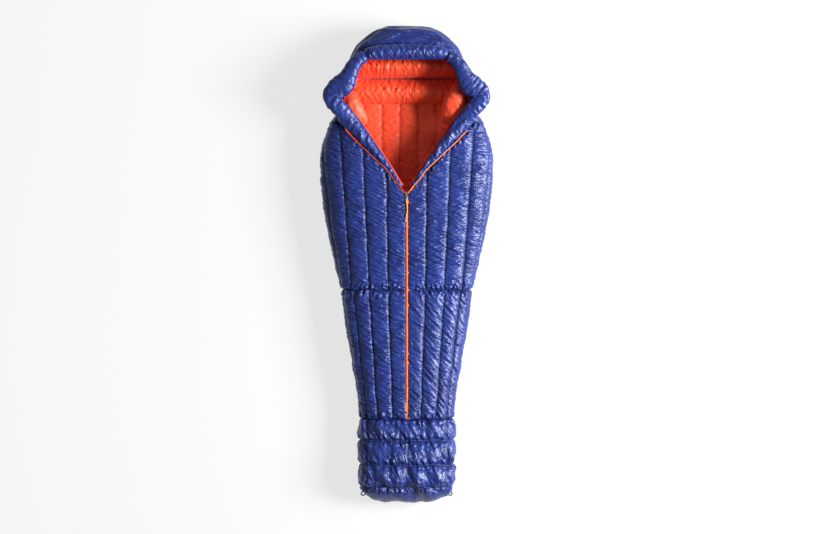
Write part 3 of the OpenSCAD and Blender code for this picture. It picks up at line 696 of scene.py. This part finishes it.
# ---- Brim, face rims and draft tubes -----------------------------------------------------
# Padded nylon tubes round the opening: a gathered brim over the forehead, a rim on each side that folds
# out into an ear at the shoulder, and a draft tube behind each side of the open zip.
def tube(path, count, around, squareness=1.0):
    """Rings of a padded tube along points of (x, y, z, half width, half height), with rounded ends."""
    line = curve_through(path, count)
    step = np.gradient(line[:, :3], axis=0)
    ahead = step / np.linalg.norm(step, axis=1, keepdims=True)
    aside = np.cross([0, 0, 1.0], ahead)
    aside /= np.linalg.norm(aside, axis=1, keepdims=True)
    up = np.cross(ahead, aside)
    run = np.concatenate([[0], np.cumsum(np.linalg.norm(np.diff(line[:, :3], axis=0), axis=1))])
    near = np.minimum(run, run[-1] - run)
    cap = 0.12 + 0.88 * swell(near, 0.02)
    a = np.linspace(0, 2 * np.pi, around + 1)[:-1]
    ca, sa = np.cos(a), np.sin(a)
    ca, sa = np.sign(ca) * np.abs(ca) ** squareness, np.sign(sa) * np.abs(sa) ** squareness
    wide, high = (line[:, 3] * cap)[:, None, None], (line[:, 4] * cap)[:, None, None]
    sideways, upward = ca[None, :, None] * aside[:, None], sa[None, :, None] * up[:, None]
    place = line[:, None, :3] + wide * sideways + high * upward
    normal = sideways + upward
    girths = np.pi * (line[:, 3] + line[:, 4])
    cut = np.stack([a[None] / (2 * np.pi) * girths[:, None], run[:, None] + 0 * a[None]], -1)
    straight = np.stack([wide[..., 0] * ca, cut[..., 1], high[..., 0] * sa], -1)
    return place, normal, cut, straight, near[:, None] + 0 * a[None]


def padded_tube(name, path, count, around, longer, fold, material, side=1, seam_at=None, squareness=1.0):
    """A sewn tube whose cloth is longer than its seam by a share, and so gathers."""
    place, normal, cut, straight, near = tube(path, count, around, squareness)
    place = place + normal * (fold(cut) * np.clip(near / 0.02, 0, 1))[..., None]
    held = near < 1e-6
    seam = near + 0.02
    if seam_at is not None:
        columns = [int(round(v * around)) % around for v in seam_at]
        for column in columns:
            held[:, column] = True
            d = np.abs((np.arange(around) - column + around // 2) % around - around // 2)
            seam = np.minimum(seam, d[None] * cut[:, 1:2, 0])
            place = place - normal * (0.006 * (1 - swell(d[None] * cut[:, 1:2, 0], 0.02)))[..., None]
    place[..., 0] *= side
    straight[..., 0] *= side
    mesh = sewn_mesh(name, place, cut, seam, closed=True, flip=side < 0)
    piece = show(name, mesh, material)
    return piece, straight * (1.04, longer, 1.04), held


BRIM_HALF = [(0.0, 0.903, 0.209, 0.035, 0.033), (0.07, 0.902, 0.208, 0.034, 0.032),
             (0.145, 0.897, 0.204, 0.031, 0.030), (0.178, 0.884, 0.196, 0.024, 0.022)]
BRIM = [(-p[0], *p[1:]) for p in BRIM_HALF[:0:-1]] + BRIM_HALF
brim = padded_tube("hood_brim_tube", BRIM, 84, 44, 1.12,
                   lambda cut: (creases(cut, 0.020, 0.5, 91, spread=0.2)
                                + creases(cut, 0.022, -0.5, 92, spread=0.2)) * 0.0009,
                   nylon_blue, seam_at=(0.0, 0.5))
RIM = [(0.206, 0.585, 0.160, 0.028, 0.022), (0.246, 0.624, 0.170, 0.034, 0.027),
       (0.284, 0.662, 0.181, 0.037, 0.030), (0.312, 0.693, 0.188, 0.037, 0.031),
       (0.323, 0.719, 0.192, 0.037, 0.030), (0.300, 0.742, 0.196, 0.047, 0.029),
       (0.266, 0.770, 0.199, 0.049, 0.029), (0.246, 0.803, 0.201, 0.038, 0.030),
       (0.229, 0.838, 0.202, 0.033, 0.032), (0.205, 0.868, 0.203, 0.030, 0.030),
       (0.168, 0.889, 0.203, 0.026, 0.026)]
EAR_AT = 0.175


def ear_folds(cut, seed):
    """Folds that crowd the ear, where the rim turns back, and die out along both arms of the rim."""
    crowd = np.exp(-((cut[..., 1] - EAR_AT) / 0.055) ** 2)
    return creases(cut, 0.022, 0.3, seed, spread=0.5) * (0.0006 + 0.0016 * crowd)


rims = [padded_tube(f"{label}_face_rim_tube", RIM, 110, 40, 1.06,
                    lambda cut, seed=seed: ear_folds(cut, seed),
                    nylon_blue, side, seam_at=(0.02, 0.5), squareness=0.8)
        for side, label, seed in ((-1, "left", 95), (1, "right", 97))]
settle([brim, *rims], cap=0.009)
for (piece, _, _), node in zip([brim, *rims], ("hood_brim", "left_face_rim", "right_face_rim")):
    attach(piece, "root")
    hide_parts(node)

ZIP_SHARES = (0.0, 0.30, 0.56, 0.82, 1.0)


def draft_path():
    """Middle of the right draft tube, which fills the space between the open zip and the opening's edge."""
    path = []
    for share in np.linspace(0.05, 0.97, 12):
        inner = np.array((0.011 + 0.253 * share, 0.317 + 0.383 * share))
        outer = np.array([np.interp(share, ZIP_SHARES, [p[i] for p in ZIP_LINE[:5]]) for i in (0, 1)])
        if share > 0.82:
            outer = outer + (share - 0.82) * np.array((0.12, 0.10))
        middle, half = (inner + outer) / 2, np.linalg.norm(outer - inner) / 2 - 0.0055
        middle = middle + (inner - outer) / np.linalg.norm(outer - inner) * 0.0025
        height = float(top_height(middle[1])) - 0.009 + 0.014 * share
        high = min(0.026, 0.004 + half * 0.8)
        path.append((*middle, height - high * 0.75, half, high))
    return path


drafts = [padded_tube(f"{label}_draft_cover", draft_path(), 96, 36, 1.05,
                      lambda cut, seed=seed: creases(cut, 0.030, 1.1, seed, spread=0.35) * 0.0016,
                      nylon_blue, side) for side, label, seed in ((-1, "left", 101), (1, "right", 103))]
settle(drafts, cap=0.006)
for (piece, _, _), side, label in zip(drafts, (-1, 1), ("left", "right")):
    across_fold(piece, side)
    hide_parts(f"{label}_draft_tube")


for side, label in ((-1, "left"), (1, "right")):
    path = [(p[0] - 0.79 * (p[3] + 0.0005), p[1] + 0.61 * (p[3] + 0.0005), p[2] + 0.002, 0.0026, 0.0026)
            for p in draft_path()]
    place, _, cut, _, near = tube(path, 90, 10)
    place[..., 0] *= side
    mesh = sewn_mesh(f"{label}_draft_binding", place, cut, 0.02 + 0 * near, closed=True, flip=side < 0)
    binding = show(mesh.name, mesh, nylon_orange)
    across_fold(binding, side)


# ---- Padding inside the hood -------------------------------------------------------------
# Orange down tubes sewn across behind the head, and a padded collar piece at each side of the neck.
# Their cloth is gathered on the seams between them.
def head_tube(name, y0, y1, tall, seed):
    steps, around = 96, 30
    v = np.linspace(0, 1, around + 1)[:, None]
    middle = (y0 + y1) / 2
    w = float(hood_half(np.array(middle))) * 0.92 - 0.01
    x = np.linspace(-w, w, steps)[None] + 0 * v
    y = y0 + (y1 - y0) * v + 0 * x
    z = 0.046 + tall * (np.sin(np.pi * v) ** 0.7) * (1 - 0.25 * np.abs(x / w) ** 3)
    cut = np.stack([y, x], -1)
    by_edge = np.minimum(y - y0, y1 - y)
    fold = creases(cut, 0.024, 0.55, seed, spread=0.25) + creases(cut, 0.03, -0.4, seed + 1, spread=0.3)
    fold = fold * 0.0011
    place = np.stack([x, y, z + fold * swell(by_edge, 0.02)], -1)
    held = (by_edge < 1e-6) | (np.abs(x) > w - 1e-6)
    mesh = sewn_mesh(name, place, cut, by_edge)
    piece = show(name, mesh, nylon_orange)
    rise_y, rise_z = (np.diff(v, axis=0, prepend=v[:1]) for v in (y, z))
    run = np.cumsum(np.hypot(rise_y, rise_z), axis=0)
    return piece, np.stack([x * 1.07, run * 1.03, 0 * x], -1), held


tubes = [head_tube("head_tube_upper_cover", 0.803, 0.900, 0.092, 111),
         head_tube("head_tube_lower_cover", 0.690, 0.803, 0.052, 113)]
COLLARS = ((-1, "left", [(0.236, 0.745, 0.140, 0.018, 0.016), (0.240, 0.710, 0.148, 0.032, 0.024),
                         (0.228, 0.674, 0.144, 0.038, 0.028), (0.204, 0.638, 0.126, 0.032, 0.026),
                         (0.178, 0.606, 0.094, 0.020, 0.020)], 121),
           (1, "right", [(0.206, 0.768, 0.150, 0.014, 0.014), (0.212, 0.732, 0.156, 0.034, 0.024),
                         (0.206, 0.690, 0.156, 0.050, 0.028), (0.188, 0.646, 0.140, 0.044, 0.028),
                         (0.164, 0.610, 0.104, 0.022, 0.020)], 123))
collars = [padded_tube(f"{label}_collar_cover", path, 40, 32, 1.12,
                       lambda cut, seed=seed: creases(cut, 0.026, 0.9, seed, spread=0.4) * 0.0012,
                       nylon_orange, side) for side, label, path, seed in COLLARS]
settle([*tubes, *collars], cap=0.009)
for (piece, _, _), node in zip([*tubes, *collars], ("head_tube_upper", "head_tube_lower",
                                                           "left_collar", "right_collar")):
    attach(piece, "root")
    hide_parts(node)


# ---- Zip ---------------------------------------------------------------------------------
# Two woven tapes with moulded teeth, sewn to the edges of the front and joined below the slider.
# The left tape is red-orange and the right one a lighter orange.
def twill(name, base, dark):
    material, shader, wire = finish(name, Roughness=0.7, Sheen_Weight=0.2)
    spot = wire.node("NewGeometry", out=0)
    ribs = wire.node("TexWave", {"bands_direction": "DIAGONAL"}, {"Vector": spot, "Scale": 420.0})
    patch = wire.node("TexNoise", (), {"Vector": spot, "Scale": 40.0})
    join((ribs * 0.35 + patch * 0.3).mix(base, dark), shader, "Base Color")
    join(wire.node("Bump", (), {"Strength": 0.5, "Distance": 0.0003, "Height": ribs}), shader, "Normal")
    return material


def moulded(name, base, worn):
    material, shader, wire = finish(name, Coat_Weight=0.1)
    spot = wire.node("NewGeometry", out=0)
    patch = wire.node("TexNoise", (), {"Vector": spot, "Scale": 90.0, "Detail": 4.0})
    join(patch.between(0.35, 0.7).mix(base, worn), shader, "Base Color")
    join(0.3 + 0.2 * patch, shader, "Roughness")
    return material


tape_finish = {-1: twill("tape_left", (0.62, 0.06, 0.02, 1), (0.35, 0.02, 0.01, 1)),
               1: twill("tape_right", (0.93, 0.24, 0.06, 1), (0.70, 0.14, 0.03, 1))}
teeth_finish = {-1: moulded("teeth_left", (0.80, 0.09, 0.03, 1), (0.90, 0.16, 0.06, 1)),
                1: moulded("teeth_right", (0.95, 0.30, 0.09, 1), (1.0, 0.42, 0.16, 1))}
ZIP_LOW = -0.598
TOOTH_PITCH = 0.0024


def zip_height(y):
    return 0.150 + 0.036 * (y - FOOT) / (NECK - FOOT) - 0.006


def zip_path():
    """Even steps up the joined zip and out along its open side, with the direction outwards from it."""
    corner = [(0.0, y, 0) for y in np.linspace(ZIP_LOW, 0.285, 24)]
    branch = curve_through([(0.0015, 0.299, 0), (0.076, 0.393, 0), (0.154, 0.470, 0), (0.238, 0.549, 0),
                            (0.262, 0.573, 0)], 40)
    branch[:, :2] += ramp(branch[:, 1:2], 0.31, 0.36) * 0.0022 * np.stack(
        [np.sin(branch[:, 1] * 75), np.cos(branch[:, 1] * 58)], -1)
    line = np.concatenate([corner, branch])[:, :2]
    run = np.concatenate([[0], np.cumsum(np.linalg.norm(np.diff(line, axis=0), axis=1))])
    steps = np.arange(0, run[-1], TOOTH_PITCH / 2)
    line = np.stack([np.interp(steps, run, line[:, i]) for i in (0, 1)], -1)
    d = np.gradient(line, axis=0)
    d /= np.linalg.norm(d, axis=1, keepdims=True)
    return line, np.stack([d[:, 1], -d[:, 0]], -1)


line, away = zip_path()
raised = 0.005 * ramp(line[:, 1], 0.300, 0.330) - 0.004 * ramp(line[:, 1], 0.45, 0.6)
for side, label in ((-1, "left"), (1, "right")):
    across = np.linspace(0.0010, 0.0090, 5)
    narrow = 1 - 0.45 * ramp(line[:, 1], 0.300, 0.340)[:, None, None]
    place = line[:, None] + away[:, None] * across[None, :, None] * narrow
    height = (zip_height(line[:, 1]) + 0.0012 + raised)[:, None] + 0.0004 * np.sin(across * 900)[None]
    place = np.concatenate([place, height[..., None]], -1)[::2]
    place[..., 0] *= side
    mesh = sewn_mesh(f"{label}_zip_tape_cloth", place, place[..., :2], 0.01 + 0 * place[..., 0],
                     flip=side < 0)
    tape = show(mesh.name, mesh, tape_finish[side])
    tape.modifiers.new("thickness", "SOLIDIFY").thickness = 0.0008
    across_fold(tape, side)
    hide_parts(f"{label}_zip_tape")

    picked = np.arange(0 if side < 0 else 1, len(line) - 1, 2)
    corners, faces = [], []
    for i in picked:
        along = np.array((-away[i, 1], away[i, 0]))
        base, z = line[i], zip_height(line[i, 1]) + 0.0013 + raised[i]
        first = len(corners)
        for up, shrink in ((0, 1.0), (0.0016, 0.9), (0.0023, 0.55)):
            for a, b in ((0.0002, -1), (0.0034, -1), (0.0034, 1), (0.0002, 1)):
                a = 0.0018 + (a - 0.0018) * shrink
                p = base + away[i] * a + along * b * 0.00085 * shrink
                corners.append((p[0] * side, p[1], z + up))
        for r in (0, 4):
            for k in range(4):
                a, b = first + r + k, first + r + (k + 1) % 4
                faces.append([a, b, b + 4, a + 4])
        faces.append([first + 8 + k for k in range(4)])
    faces = [f[::-1] for f in faces] if side < 0 else faces
    mesh = bpy.data.meshes.new(f"{label}_zip_teeth")
    mesh.from_pydata(corners, [], faces)
    teeth = show(mesh.name, mesh, teeth_finish[side])
    across_fold(teeth, side)
    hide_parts(f"{label}_zip_coil")

place = np.array([[(x, y, float(zip_height(y)) + 0.0012) for x in np.linspace(-0.009, 0.009, 9)]
                  for y in np.linspace(FOOT + 0.001, ZIP_LOW + 0.004, 20)])
mesh = sewn_mesh("zip_foot_tape", place, place[..., :2], 0.01 + 0 * place[..., 0])
foot_tape = show(mesh.name, mesh, tape_finish[1])
foot_tape.modifiers.new("thickness", "SOLIDIFY").thickness = 0.0008
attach(foot_tape, "root")
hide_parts("zip_foot_end")


# ---- Slider, pull and stops --------------------------------------------------------------
# Die-cast metal with a satin grey plating, rubbed brighter in random patches.
plated, shader, wire = finish("plated_metal")
spot = wire.node("NewGeometry", out=0)
rub = wire.node("TexNoise", (), {"Vector": spot, "Scale": 300.0, "Detail": 5.0})
join(rub.between(0.35, 0.7).mix((0.16, 0.165, 0.175, 1), (0.50, 0.51, 0.53, 1)), shader, "Base Color")
join(0.28 + 0.25 * rub, shader, "Roughness")
join(0.8 + 0.2 * rub, shader, "Metallic")
join(wire.node("Bump", (), {"Strength": 0.2, "Distance": 0.0002, "Height": rub}), shader, "Normal")
for node in ("zip_slider", "zip_pull", "zip_bottom_stop", "left_zip_stop", "right_zip_stop"):
    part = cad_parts[node]
    part.data.materials.clear()
    part.data.materials.append(plated)
    edges = part.modifiers.new("eased_edges", "BEVEL")
    edges.width, edges.segments = 0.0003, 2


# ---- Hang loops --------------------------------------------------------------------------
# A short black cord loop sewn into each corner of the foot, for hanging the bag up to air.
black_cord, shader, wire = finish("black_cord", Roughness=0.7)
spot = wire.node("NewGeometry", out=0)
turns = wire.node("TexWave", {"bands_direction": "DIAGONAL"},
                  {"Vector": spot, "Scale": 330.0, "Distortion": 1.0})
join(turns.mix((0.006, 0.006, 0.007, 1), (0.03, 0.03, 0.034, 1)), shader, "Base Color")
join(wire.node("Bump", (), {"Strength": 0.6, "Distance": 0.0005, "Height": turns}), shader, "Normal")
for side, label in ((-1, "left"), (1, "right")):
    low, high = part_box(f"{label}_hang_loop")
    middle = (low + high) / 2
    bent = bpy.data.curves.new(f"{label}_loop_cord", "CURVE")
    bent.dimensions, bent.bevel_depth, bent.bevel_resolution = "3D", 0.0026, 4
    spline = bent.splines.new("BEZIER")
    loop_points = [(-0.012, 0.007), (0.005, 0.005), (0.0075, -0.007), (-0.012, -0.001)]
    spline.bezier_points.add(3)
    for knot, (x, y) in zip(spline.bezier_points, loop_points):
        knot.co = (middle.x + side * x, middle.y + y, middle.z)
        knot.handle_left_type = knot.handle_right_type = "AUTO"
    spline.use_cyclic_u = True
    loop = bpy.data.objects.new(f"{label}_loop_cord", bent)
    bpy.context.scene.collection.objects.link(loop)
    bent.materials.append(black_cord)
    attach(loop, "root")
    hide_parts(f"{label}_hang_loop")
